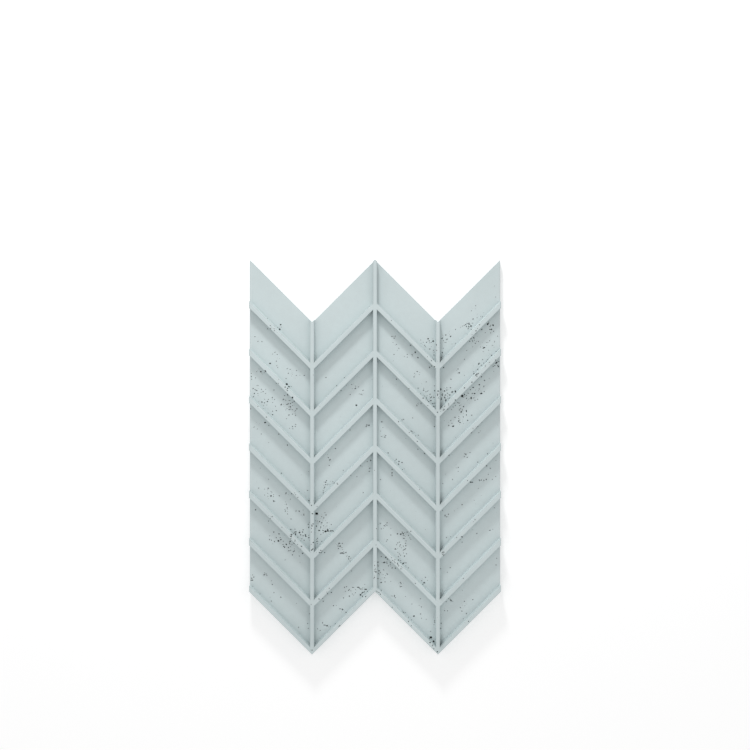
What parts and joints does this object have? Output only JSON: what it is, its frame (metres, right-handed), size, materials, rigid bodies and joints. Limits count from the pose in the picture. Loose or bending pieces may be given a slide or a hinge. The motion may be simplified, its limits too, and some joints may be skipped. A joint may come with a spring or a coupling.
{
  "type": "herringbone concrete wall panel",
  "caption": "Flat-backed cast concrete wall panel with a raised herringbone of ribs and zigzag top and bottom edges that nest.",
  "frame": {"origin": "middle of the flat back, where the panel rests on the floor or is glued to a wall", "axes": "+X across the pattern to the right, +Y up the pattern towards the edge with no rib, +Z out of the wall"},
  "size_m": [0.6, 0.942, 0.03],
  "materials": {
    "cast_concrete": "pale grey-green cast concrete, matt, smooth with scattered open air pores"
  },
  "bodies": {
    "root": {"herringbone_panel": "cast_concrete"}
  },
  "joints": []
}
